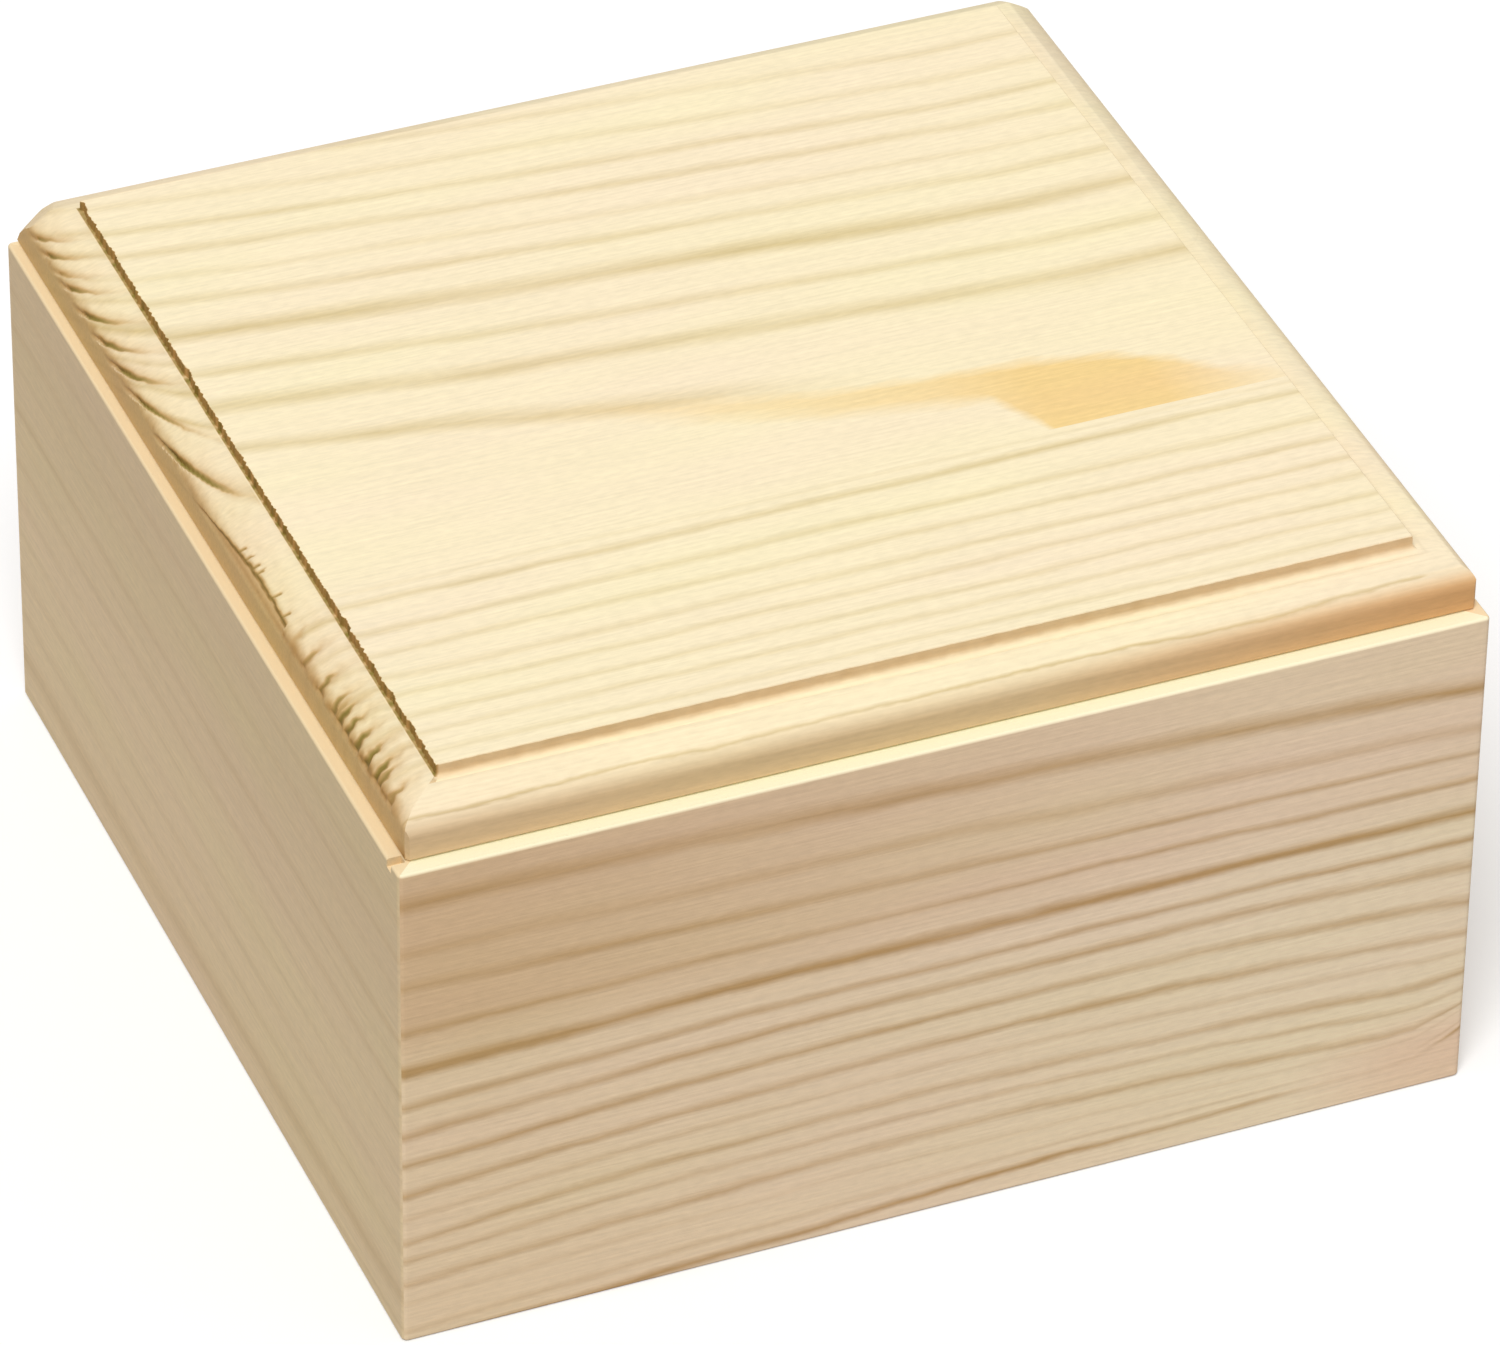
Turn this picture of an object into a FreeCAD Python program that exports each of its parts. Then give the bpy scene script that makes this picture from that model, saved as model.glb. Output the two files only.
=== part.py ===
"""Square pine box with a thick moulded lid that slides out to the right.

Four mitred walls stand round a rebated bottom panel.  The front and back walls carry a groove
just below their tops.  The lid is two boards glued edge to edge and then cut as one: a moulded
plate over the wall tops, a neck between the walls, and a tongue along its front and back edges
that runs in the grooves.  The right wall is lowered between the grooves so that the lid can pass
over it.

Frame: origin at the middle of the footprint, on the surface the box stands on.  +X is to the
right, the way the lid is pulled, +Y is to the back and +Z is up.  All lengths are millimetres.
"""
import FreeCAD, Part
import math
import os

V = FreeCAD.Vector

# ---- the box ---------------------------------------------------------------------------------
box_length = 150.0          # X, over the outer faces
box_depth = 150.0           # Y, over the outer faces
wall_height = 75.5          # from the table to the wall tops
wall_thickness = 8.0
corner_round = 0.8          # upright outer corners
rim_round = 0.4             # outer top and bottom edges of the walls

# ---- the bottom --------------------------------------------------------------------------------
panel_thickness = 4.0
panel_inset = 0.4           # how far the panel lies above the table
foot_width = 4.0            # wood left outside the rebate that takes the panel

# ---- the slide ---------------------------------------------------------------------------------
lip_height = 3.5            # wood left above each groove
groove_height = 4.5
groove_depth = 3.0
slide_gap = 0.3             # clearance round the tongues, the neck and the lid's closed end

# ---- the lid's plate ---------------------------------------------------------------------------
plate_gap = 0.4             # between the wall tops and the plate
plate_thickness = 8.7       # through the plain field
plate_corner_round = 1.2    # its upright corners
reveal_left = 1.9           # wall top left uncovered on each side
reveal_right = 1.2
reveal_front = 2.3
reveal_back = 0.4
seam_from_front = 47.2      # the glue line between the lid's two boards, from the box's front face

# ---- the moulding round the plate: upright face, round, ledge, cove and step up to the field --------
face_height = 4.4           # upright lower face
round_width = 5.6           # the round, from the face to the ledge
ledge_width = 0.4           # level wood between the round and the cove
cove_radius = 0.4           # hollow at the foot of the step
step_height = 2.1           # the field above the ledge

# ---- a small saw nick across the left wall, by the front corner --------------------------------------
nick_from_front = 2.6
nick_width = 1.5
nick_depth = 1.2

# ---- values that follow from those above -----------------------------------------------------------
half_x = box_length / 2
half_y = box_depth / 2
groove_top = wall_height - lip_height
groove_floor = groove_top - groove_height
rebate_top = panel_inset + panel_thickness
plate_bottom = wall_height + plate_gap
plate_top = plate_bottom + plate_thickness
plate_left = -half_x + reveal_left
plate_right = half_x - reveal_right
plate_front = -half_y + reveal_front
plate_back = half_y - reveal_back
moulding_width = round_width + ledge_width + cove_radius
cut_over = 1.0              # how far cutting blocks run past the wood


def block(x0, x1, y0, y1, z0, z1):
    """Box between two corners."""
    return Part.makeBox(x1 - x0, y1 - y0, z1 - z0, V(x0, y0, z0))


def side_point(side, along, out, z=0.0):
    """Point given along one side and outward from the middle."""
    if side == "front":
        return V(along, -out, z)
    if side == "back":
        return V(along, out, z)
    if side == "left":
        return V(-out, along, z)
    return V(out, along, z)


def mitre_wedge(side, half_span, half_out, reach, z0, z1):
    """Prism that keeps one side of a frame, cut at 45 degrees through both its corners."""
    corners = [
        (-half_span - cut_over, half_out + cut_over),
        (half_span + cut_over, half_out + cut_over),
        (half_span - reach, half_out - reach),
        (-half_span + reach, half_out - reach),
    ]
    points = [side_point(side, along, out, z0) for along, out in corners]
    return Part.Face(Part.makePolygon(points + [points[0]])).extrude(V(0, 0, z1 - z0))


def upright_edges(solid):
    """Edges of a solid that stand along Z."""
    return [edge for edge in solid.Edges if abs(edge.tangentAt(edge.FirstParameter).z) > 0.9]


def outer_block():
    """Solid of the box's outer shape with eased edges."""
    solid = block(-half_x, half_x, -half_y, half_y, 0, wall_height)
    solid = solid.makeFillet(corner_round, upright_edges(solid))
    rims = []
    for edge in solid.Edges:
        level = edge.BoundBox
        if level.ZLength < 1e-6 and (level.ZMin < 1e-6 or level.ZMin > wall_height - 1e-6):
            rims.append(edge)
    return solid.makeFillet(rim_round, rims)


def wall_frame():
    """All four walls in one, with the bottom rebate."""
    frame = outer_block()
    inner_x = half_x - wall_thickness
    inner_y = half_y - wall_thickness
    hollow = block(-inner_x, inner_x, -inner_y, inner_y, -cut_over, wall_height + cut_over)
    rebate_x = half_x - foot_width
    rebate_y = half_y - foot_width
    rebate = block(-rebate_x, rebate_x, -rebate_y, rebate_y, -cut_over, rebate_top)
    return frame.cut(hollow).cut(rebate)


def wall(side):
    """One mitred wall."""
    if side in ("front", "back"):
        span, out = half_x, half_y
    else:
        span, out = half_y, half_x
    reach = wall_thickness + cut_over
    wedge = mitre_wedge(side, span, out, reach, -cut_over, wall_height + cut_over)
    return wall_frame().common(wedge)


def grooved_wall(side):
    """Front or back wall with the groove that the lid's tongue runs in."""
    inner = half_y - wall_thickness
    start = side_point(side, -half_x, inner - cut_over)
    end = side_point(side, half_x, inner + groove_depth)
    low, high = min(start.y, end.y), max(start.y, end.y)
    return wall(side).cut(block(start.x, end.x, low, high, groove_floor, groove_top))


def left_wall():
    """Closed end, with the saw nick across its top beside the front corner."""
    front = -half_y + nick_from_front
    nick = block(-half_x - cut_over, plate_left, front, front + nick_width,
                 wall_height - nick_depth, wall_height + cut_over)
    return wall("left").cut(nick)


def right_wall():
    """Open end, lowered between the grooves so that the lid passes over it."""
    reach_y = half_y - wall_thickness + groove_depth
    way = block(half_x - wall_thickness - cut_over, half_x + cut_over, -reach_y, reach_y,
                groove_floor, wall_height + cut_over)
    return wall("right").cut(way)


def bottom_panel():
    """Thin board glued up into the rebate."""
    edge_x = half_x - foot_width
    edge_y = half_y - foot_width
    return block(-edge_x, edge_x, -edge_y, edge_y, panel_inset, rebate_top)


def moulding(side, half_span, sign):
    """Edges of the moulding on one side of the plate, from its lower corner up to the field."""
    face_top = plate_bottom + face_height
    ledge = plate_top - step_height
    rise = ledge - face_top
    cove_start = round_width + ledge_width
    cove_middle = cove_radius * (1 - math.sin(math.radians(45)))
    # The round is a tight arc up from the face and a flat one in to the ledge, with a common tangent.
    tight = 0.45 * rise
    flat = (round_width ** 2 + rise ** 2 - 2 * round_width * tight) / (2 * (rise - tight))
    meeting = math.atan2(face_top - ledge + flat, round_width - tight)

    def at(inward, z):
        return side_point(side, 0, sign * (half_span - inward), z)

    def tight_point(turn):
        return at(tight - tight * math.cos(turn), face_top + tight * math.sin(turn))

    def flat_point(turn):
        return at(round_width - flat * math.cos(turn), ledge - flat + flat * math.sin(turn))

    upright = math.pi / 2
    tight_arc = Part.Arc(at(0, face_top), tight_point(meeting / 2), tight_point(meeting))
    flat_arc = Part.Arc(tight_point(meeting), flat_point((meeting + upright) / 2), at(round_width, ledge))
    cove = Part.Arc(at(cove_start, ledge),
                    at(moulding_width - cove_middle, ledge + cove_middle),
                    at(moulding_width, ledge + cove_radius))
    return [
        Part.makeLine(at(0, plate_bottom), at(0, face_top)),
        tight_arc.toShape(),
        flat_arc.toShape(),
        Part.makeLine(at(round_width, ledge), at(cove_start, ledge)),
        cove.toShape(),
        Part.makeLine(at(moulding_width, ledge + cove_radius), at(moulding_width, plate_top)),
    ]


def moulded_bar(side, half_span, half_length):
    """Plate with the moulding along the two edges that lie parallel to one side."""
    outline = moulding(side, half_span, 1) + moulding(side, half_span, -1)
    field = half_span - moulding_width
    outline.append(Part.makeLine(side_point(side, 0, field, plate_top),
                                 side_point(side, 0, -field, plate_top)))
    outline.append(Part.makeLine(side_point(side, 0, half_span, plate_bottom),
                                 side_point(side, 0, -half_span, plate_bottom)))
    section = Part.Face(Part.Wire(Part.__sortEdges__(outline)))
    section.translate(side_point(side, -half_length, 0))
    return section.extrude(side_point(side, 2 * half_length, 0))


def whole_lid():
    """Moulded plate, neck and tongues, before it is parted at the glue line."""
    span_x = (plate_right - plate_left) / 2
    span_y = (plate_back - plate_front) / 2
    plate = moulded_bar("front", span_y, span_x).common(moulded_bar("right", span_x, span_y))
    limit = block(-span_x, span_x, -span_y, span_y, plate_bottom - cut_over, plate_top + cut_over)
    plate = plate.common(limit.makeFillet(plate_corner_round, upright_edges(limit)))
    plate.translate(V((plate_left + plate_right) / 2, (plate_front + plate_back) / 2, 0))

    stop = -half_x + wall_thickness + slide_gap
    neck_y = half_y - wall_thickness - slide_gap
    tongue_y = half_y - wall_thickness + groove_depth - slide_gap
    under = groove_floor + slide_gap
    neck = block(stop, plate_right, -neck_y, neck_y, under, plate_bottom)
    tongues = block(stop, plate_right, -tongue_y, tongue_y, under, groove_top - slide_gap)
    return plate.fuse([neck, tongues]).removeSplitter()


def lid_board(side):
    """Front or back board of the lid, on its side of the glue line."""
    seam = -half_y + seam_from_front
    near, far = (-half_y, seam) if side == "front" else (seam, half_y)
    return whole_lid().common(block(-half_x, half_x, near, far, 0, plate_top + cut_over))


def save(name, shape):
    """Write one node's STEP file."""
    solids = shape.Solids
    result = solids[0] if len(solids) == 1 else shape
    result.exportStep("parts/" + name + ".step")
    size = result.BoundBox
    print(name, len(solids), "solid", result.isValid(), "volume", round(result.Volume, 1),
          "x", round(size.XMin, 2), round(size.XMax, 2), "y", round(size.YMin, 2),
          round(size.YMax, 2), "z", round(size.ZMin, 2), round(size.ZMax, 2))


os.makedirs("parts", exist_ok=True)
save("front_wall", grooved_wall("front"))
save("back_wall", grooved_wall("back"))
save("left_wall", left_wall())
save("right_wall", right_wall())
save("bottom_panel", bottom_panel())
save("lid_front_board", lid_board("front"))
save("lid_back_board", lid_board("back"))
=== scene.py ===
import bpy
import bmesh
import math
from mathutils import Matrix, Vector, noise


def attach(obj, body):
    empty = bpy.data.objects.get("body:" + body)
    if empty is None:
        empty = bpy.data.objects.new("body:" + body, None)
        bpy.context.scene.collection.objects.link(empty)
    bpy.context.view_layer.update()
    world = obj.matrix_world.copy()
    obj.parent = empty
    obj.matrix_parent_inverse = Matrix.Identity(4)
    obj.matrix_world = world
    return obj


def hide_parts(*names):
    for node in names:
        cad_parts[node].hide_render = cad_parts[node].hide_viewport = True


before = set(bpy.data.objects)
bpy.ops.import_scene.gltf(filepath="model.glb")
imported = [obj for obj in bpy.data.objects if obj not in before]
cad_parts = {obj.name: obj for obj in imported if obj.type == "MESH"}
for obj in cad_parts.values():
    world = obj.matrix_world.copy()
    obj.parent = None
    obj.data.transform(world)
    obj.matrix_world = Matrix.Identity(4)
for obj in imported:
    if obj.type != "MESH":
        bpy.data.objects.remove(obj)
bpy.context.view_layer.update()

# ---- Front wall --------------------------------------------------------------------------------
# Planed and sanded pine board, mitred and glued to its neighbours.  Below its top runs the groove
# for the lid, and at its foot the rebate for the bottom.  Its lower rings sweep up at the right end,
# towards a knot that was cut away.
HALF = 75.0               # millimetres, as are all sizes below: half of the box's side
WALL_TOP, LID_TOP = 75.5, 84.6

# Growth rings on the face: place below the top edge, breadth and darkness.
FRONT_RINGS = [
    (4.8, 3.2, 0.90), (12.6, 2.4, 0.45), (18.0, 2.0, 0.70), (25.2, 1.8, 0.75), (31.6, 2.6, 1.20),
    (37.3, 1.9, 0.85), (41.8, 1.9, 0.80), (46.8, 1.8, 0.80), (51.5, 1.7, 0.75), (55.2, 1.3, 0.35),
    (59.3, 1.6, 0.65), (62.5, 1.3, 0.50), (66.3, 1.6, 0.65), (69.4, 1.1, 0.20), (74.0, 1.3, 0.30),
    (76.8, 1.6, 1.10),
]
# How far the rings fall from the left end to the right end, and how far they sag in the middle,
# each at some places below the top edge.
FRONT_DRIFT = [(0, 7), (12, 6), (20, 4.5), (25, 0.8), (32, -0.6), (37, -2), (43, -1.2), (50, -0.2),
               (62, 0.6), (66, 0), (69, -3), (71, -6), (76, -7.5)]
FRONT_SAG = [(0, -1.5), (14, -1.2), (20, -0.2), (26, -0.9), (32, -1), (37, -1.9), (45, -3),
             (52, -3.6), (62, -4), (67, -3), (71, -1), (76, -0.5)]
DRIFT_MOST = 25.0         # curves of drift and sag are held in ramps from minus to plus this
KNOT_SWEEP = 4.5          # rise of the lower rings at the right end
STEADY = [(0, 0), (1, 1)]  # rings that drift evenly from end to end

# A ring darkens over this share of its breadth on one side, and ends over that share on the other.
RING_RISE, RING_DROP = 0.78, 0.55
RINGS_IN_RAMP = 8         # a ramp holds 32 stops, and a ring takes three
WAVER = 1.2               # how far a ring wanders from its line

# Early wood at the left and the right end, above and below the dark ring; wood near the knot; late
# wood; and a painted highlight on the top edge.
FRONT_UPPER, FRONT_LOWER = ("E8C9A2", "FBE3C6"), ("F9E1BF", "FFECCE")
FRONT_PINK, FRONT_LATE, FRONT_TOP_HIGHLIGHT = "FBDDC0", "CBA673", "FFFCD9"


def linear(hex_colour):
    """sRGB hex to the linear colour that shaders use."""
    channels = []
    for i in (0, 2, 4):
        c = int(hex_colour[i:i + 2], 16) / 255
        channels.append(c / 12.92 if c <= 0.04045 else ((c + 0.055) / 1.055) ** 2.4)
    return (*channels, 1.0)


def add_node(tree, kind, inputs=None, **settings):
    """Add a node; inputs maps a socket's name or number to a value, a node or a node's output.

    By number, a Mapping takes 0 point, 1 place, 2 turn and 3 scale, a Map Range takes 0 value,
    1 and 2 from and 3 and 4 to, and a Mix takes 0 share, 6 and 7 colours, and gives 2.
    """
    node = tree.nodes.new(kind)
    for key, value in settings.items():
        setattr(node, key, value)
    for key, value in (inputs or {}).items():
        if isinstance(value, bpy.types.Node):
            value = value.outputs[0]
        if isinstance(value, bpy.types.NodeSocket):
            tree.links.new(value, node.inputs[key])
        else:
            node.inputs[key].default_value = value
    return node


def curve(tree, place, stops):
    """Grey value that follows (place, value) stops in a straight line from each to the next."""
    low, high = stops[0][0], stops[-1][0]
    part = add_node(tree, "ShaderNodeMapRange", {0: place, 1: low, 2: high})
    ramp = add_node(tree, "ShaderNodeValToRGB", {0: part})
    points = ramp.color_ramp.elements
    while len(points) < len(stops):
        points.new(0.5)
    for point, (at, value) in zip(points, stops):
        point.position = (at - low) / (high - low)
        point.color = (value, value, value, 1)
    return ramp


def shift_curve(tree, place, stops):
    """Curve of a shift in millimetres, either way."""
    grey = curve(tree, place, [(at, 0.5 + 0.5 * value / DRIFT_MOST) for at, value in stops])
    return add_node(tree, "ShaderNodeMath", {0: grey, 1: 2 * DRIFT_MOST, 2: -DRIFT_MOST},
                    operation="MULTIPLY_ADD")


def board(name, facing):
    """Start a pine material: millimetres along the grain, across it and inward from its face."""
    turns = {"front": (90, 0), "left": (90, -90), "back": (90, 180), "right": (90, 90),
             "up": (180, 0)}[facing]
    # Walls are measured from their top edge, and boards that lie flat from the top of the lid.
    start = (HALF, HALF, LID_TOP) if facing == "up" else (HALF, WALL_TOP, HALF)
    material = bpy.data.materials.new(name)
    material.use_nodes = True
    tree = material.node_tree
    where = add_node(tree, "ShaderNodeTexCoord")
    grain = add_node(tree, "ShaderNodeMapping", {
        0: where.outputs["Object"], 1: start, 3: (1000, 1000, 1000),
        2: (math.radians(turns[0]), math.radians(turns[1]), 0)})
    return material, tree, grain


def rings_on(tree, grain, place, rings, drift, sag, path):
    """Late wood: rings laid out by their place, bent by drift and sag and a little uneven.

    Path says how much of the drift is reached at each share of the board's length.
    """
    along = add_node(tree, "ShaderNodeSeparateXYZ", {0: grain})
    end = add_node(tree, "ShaderNodeMath", {0: along.outputs[0], 1: 2 * HALF}, operation="DIVIDE")
    gone = curve(tree, end, path)
    # A bow that is nothing at both ends and one in the middle.
    bow = add_node(tree, "ShaderNodeMath", {0: end, 1: end}, operation="MULTIPLY")
    bow = add_node(tree, "ShaderNodeMath", {0: end, 1: bow}, operation="SUBTRACT")
    bow = add_node(tree, "ShaderNodeMath", {0: bow, 1: 4.0}, operation="MULTIPLY")
    fall = add_node(tree, "ShaderNodeMath", {0: shift_curve(tree, place, drift), 1: gone},
                    operation="MULTIPLY")
    fall = add_node(tree, "ShaderNodeMath", {0: shift_curve(tree, place, sag), 1: bow, 2: fall},
                    operation="MULTIPLY_ADD")
    level = add_node(tree, "ShaderNodeMath", {0: place, 1: fall}, operation="SUBTRACT")
    # The lines wander in waves of about 33 mm along the board, with finer ones on them.
    waver = add_node(tree, "ShaderNodeMapping", {0: grain, 3: (0.03, 0.1, 0.1)})
    waver = add_node(tree, "ShaderNodeTexNoise", {"Vector": waver, "Scale": 1.0, "Detail": 5.0,
                                                  "Roughness": 0.7})
    waver = add_node(tree, "ShaderNodeMath", {0: waver, 1: 2 * WAVER, 2: -WAVER},
                     operation="MULTIPLY_ADD")
    level = add_node(tree, "ShaderNodeMath", {0: level, 1: waver}, operation="ADD")
    late = None
    for first in range(0, len(rings), RINGS_IN_RAMP):
        stops = []
        for at, breadth, dark in rings[first:first + RINGS_IN_RAMP]:
            stops += [(at - RING_RISE * breadth, 0), (at, dark), (at + RING_DROP * breadth, 0)]
        stops = [(stops[0][0] - 0.5, 0)] + stops + [(stops[-1][0] + 0.5, 0)]
        group = curve(tree, level, stops)
        if late is None:
            late = group
        else:
            late = add_node(tree, "ShaderNodeMath", {0: late, 1: group}, operation="MAXIMUM")
    # The late wood is stronger in some stretches, 40 mm long, than in others.
    patchy = add_node(tree, "ShaderNodeMapping", {0: grain, 3: (0.025, 0.3, 0.3)})
    patchy = add_node(tree, "ShaderNodeTexNoise", {"Vector": patchy, "Scale": 1.0, "Detail": 2.0})
    patchy = add_node(tree, "ShaderNodeMapRange", {0: patchy, 1: 0.3, 2: 0.7, 3: 0.62, 4: 1.15})
    return add_node(tree, "ShaderNodeMath", {0: late, 1: patchy}, operation="MULTIPLY")


def faded(tree, late, first, second):
    """Late wood that fades away where both of two values are high."""
    both = add_node(tree, "ShaderNodeMath", {0: first, 1: second}, operation="MULTIPLY")
    left_over = add_node(tree, "ShaderNodeMath", {0: 1.0, 1: both}, operation="SUBTRACT")
    return add_node(tree, "ShaderNodeMath", {0: late, 1: left_over}, operation="MULTIPLY")


def sanded(material, tree, grain, wood, late, side="FFFFFF", end="FFFFFF", painted_top_highlight=None):
    """Finish a pine material: fibres, blotches, a painted highlight on top, sides and ends darkened
    as painted shade and end grain, and the sanded surface.
    """
    # Fibres 20 mm long and half a millimetre thick, and flecks 2 mm long.
    fibres = add_node(tree, "ShaderNodeMapping", {0: grain, 3: (0.05, 2.2, 2.2)})
    fibres = add_node(tree, "ShaderNodeTexNoise", {"Vector": fibres, "Scale": 1.0, "Detail": 4.0})
    grey = add_node(tree, "ShaderNodeMapRange", {0: fibres, 1: 0.3, 2: 0.7, 3: 0.955, 4: 1.035})
    flecks = add_node(tree, "ShaderNodeMapping", {0: grain, 3: (0.5, 1.6, 1.6)})
    flecks = add_node(tree, "ShaderNodeTexNoise", {"Vector": flecks, "Scale": 1.0, "Detail": 3.0})
    flecks = add_node(tree, "ShaderNodeMapRange", {0: flecks, 1: 0.3, 2: 0.7, 3: 0.96, 4: 1.035})
    grey = add_node(tree, "ShaderNodeMath", {0: grey, 1: flecks}, operation="MULTIPLY")
    # Blotches a few centimetres long, some pinker and some yellower.
    blotch = add_node(tree, "ShaderNodeMapping", {0: grain, 3: (0.012, 0.05, 0.05)})
    blotch = add_node(tree, "ShaderNodeTexNoise", {"Vector": blotch, "Scale": 1.0, "Detail": 2.0})
    warm = add_node(tree, "ShaderNodeMapRange", {0: blotch, 1: 0.35, 2: 0.65, 3: 0.0, 4: 1.0})
    tone = add_node(tree, "ShaderNodeMix", {0: warm, 6: linear("FFF9F7"), 7: linear("FFFDF4")},
                    data_type="RGBA")
    wood = add_node(tree, "ShaderNodeMix", {0: 1.0, 6: wood, 7: tone.outputs[2]},
                    data_type="RGBA", blend_type="MULTIPLY")
    wood = add_node(tree, "ShaderNodeVectorMath", {0: wood.outputs[2], 3: grey}, operation="SCALE")
    # End grain and the sides of a board are coloured darker than its broad face: on the sides as
    # painted shade, on the ends as painted shade and the end grain's own darkness.  The left end,
    # torn by the cutter, is darkened more than the right one, partly as painted shade.
    normal = add_node(tree, "ShaderNodeTexCoord").outputs["Normal"]
    facing = add_node(tree, "ShaderNodeSeparateXYZ", {0: normal})
    ends = add_node(tree, "ShaderNodeMapRange", {0: facing.outputs[0], 1: 0.0, 2: -1.0})
    ends = add_node(tree, "ShaderNodeMath", {0: ends, 1: 1.35}, operation="POWER")
    right_end_grain_and_shade = add_node(tree, "ShaderNodeMapRange", {
        0: facing.outputs[0], 1: 0.3, 2: 1.0, 3: 0.0, 4: 0.6})
    ends = add_node(tree, "ShaderNodeMath", {0: ends, 1: right_end_grain_and_shade}, operation="ADD")
    sides = add_node(tree, "ShaderNodeMath", {0: facing.outputs[1]}, operation="ABSOLUTE")
    sides = add_node(tree, "ShaderNodeMath", {0: sides, 1: 2.4}, operation="POWER")
    # Surfaces that face up, such as the top edges of the walls, take a paler colour: a painted
    # highlight.
    if painted_top_highlight:
        up = add_node(tree, "ShaderNodeMath", {0: facing.outputs[2], 1: 0.9},
                      operation="MULTIPLY", use_clamp=True)
        wood = add_node(tree, "ShaderNodeMix", {0: up, 6: wood, 7: linear(painted_top_highlight)},
                        data_type="RGBA").outputs[2]
    for amount, colour in ((sides, side), (ends, end)):
        darker = add_node(tree, "ShaderNodeMix", {0: amount, 6: linear("FFFFFF"), 7: linear(colour)},
                          data_type="RGBA")
        wood = add_node(tree, "ShaderNodeVectorMath", {0: wood, 1: darker.outputs[2]},
                        operation="MULTIPLY")
    # Sanding leaves the hard late wood a hair proud of the rest, and the surface matt.
    height = add_node(tree, "ShaderNodeMath", {0: late, 1: 0.6, 2: fibres}, operation="MULTIPLY_ADD")
    bump = add_node(tree, "ShaderNodeBump", {"Height": height, "Strength": 0.25, "Distance": 0.0002})
    shader = tree.nodes["Principled BSDF"]
    tree.links.new(wood.outputs[0], shader.inputs["Base Color"])
    tree.links.new(bump.outputs[0], shader.inputs["Normal"])
    shader.inputs["Roughness"].default_value = 0.62
    shader.inputs["IOR"].default_value = 1.5
    shader.inputs["Specular IOR Level"].default_value = 0.25
    return material


def dress(node, material):
    """Give a construction piece its finish."""
    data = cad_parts[node].data
    data.materials.clear()
    data.materials.append(material)


# Pine, planed and sanded bare: matt, honey-pink early wood with thin tan rings of late wood, browner
# at the left end, and a painted highlight on its top edge.
front_pine, tree, grain = board("sanded_pine_front", "front")
along, across = add_node(tree, "ShaderNodeSeparateXYZ", {0: grain}).outputs[:2]
# The sweep towards the knot, at the right end of the lower rings.
near = curve(tree, along, [(138, 0), (143, 0.12), (147, 0.5), (151, 1)])
low = curve(tree, across, [(50, 0), (60, 0.6), (65, 1), (76, 1)])
near = add_node(tree, "ShaderNodeMath", {0: near, 1: low}, operation="MULTIPLY")
swept = add_node(tree, "ShaderNodeMath", {0: near, 1: KNOT_SWEEP, 2: across},
                 operation="MULTIPLY_ADD")
late = rings_on(tree, grain, swept, FRONT_RINGS, FRONT_DRIFT, FRONT_SAG, STEADY)
# The ring at the foot runs out before it gets there.
ending = curve(tree, along, [(118, 0), (128, 0.8), (150, 0.9)])
foot = curve(tree, across, [(67.5, 0), (69.5, 1), (76, 1)])
late = faded(tree, late, ending, foot)
early = curve(tree, across, [(0, 0.0), (24, 0.0), (34, 1.0), (75.5, 1.0)])
rightward = add_node(tree, "ShaderNodeMapRange", {0: along, 1: 10, 2: 120})
upper = add_node(tree, "ShaderNodeMix", {
    0: rightward, 6: linear(FRONT_UPPER[0]), 7: linear(FRONT_UPPER[1])}, data_type="RGBA")
lower = add_node(tree, "ShaderNodeMix", {
    0: rightward, 6: linear(FRONT_LOWER[0]), 7: linear(FRONT_LOWER[1])}, data_type="RGBA")
wood = add_node(tree, "ShaderNodeMix", {0: early, 6: upper.outputs[2], 7: lower.outputs[2]},
                data_type="RGBA")
# The wood by the knot is pinker.
pink = curve(tree, along, [(125, 0), (140, 0.8), (150, 1)])
low_down = curve(tree, across, [(62, 0), (68, 1), (76, 1)])
pink = add_node(tree, "ShaderNodeMath", {0: pink, 1: low_down}, operation="MULTIPLY")
wood = add_node(tree, "ShaderNodeMix", {0: pink, 6: wood.outputs[2], 7: linear(FRONT_PINK)},
                data_type="RGBA")
wood = add_node(tree, "ShaderNodeMix", {0: late, 6: wood.outputs[2], 7: linear(FRONT_LATE)},
                data_type="RGBA")
dress("front_wall", sanded(front_pine, tree, grain, wood.outputs[2], late, painted_top_highlight=FRONT_TOP_HIGHLIGHT))

# ---- Back wall ---------------------------------------------------------------------------------
# The front wall's pair, a mitred board with its groove facing the other one, of plainer wood with
# its rings closer together at the top.
BACK_RINGS = [
    (3.0, 1.6, 0.5), (6.4, 1.6, 0.6), (10.2, 1.8, 0.5), (14.6, 2.0, 0.7), (19.8, 2.2, 0.5),
    (25.6, 2.2, 0.6), (32.4, 2.6, 0.8), (40.0, 2.6, 0.5), (48.3, 2.8, 0.6), (57.0, 2.8, 0.5),
    (65.2, 2.4, 0.6), (71.4, 2.0, 0.5),
]


def plain_pine(name, facing, rings, drift, sag, early, late_wood, painted_top_highlight=None):
    """Sanded pine whose early wood is of one colour all over."""
    material, tree, grain = board(name, facing)
    across = add_node(tree, "ShaderNodeSeparateXYZ", {0: grain}).outputs[1]
    late = rings_on(tree, grain, across, rings, drift, sag, STEADY)
    wood = add_node(tree, "ShaderNodeMix", {0: late, 6: linear(early), 7: linear(late_wood)},
                    data_type="RGBA")
    return sanded(material, tree, grain, wood.outputs[2], late, painted_top_highlight=painted_top_highlight)


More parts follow.
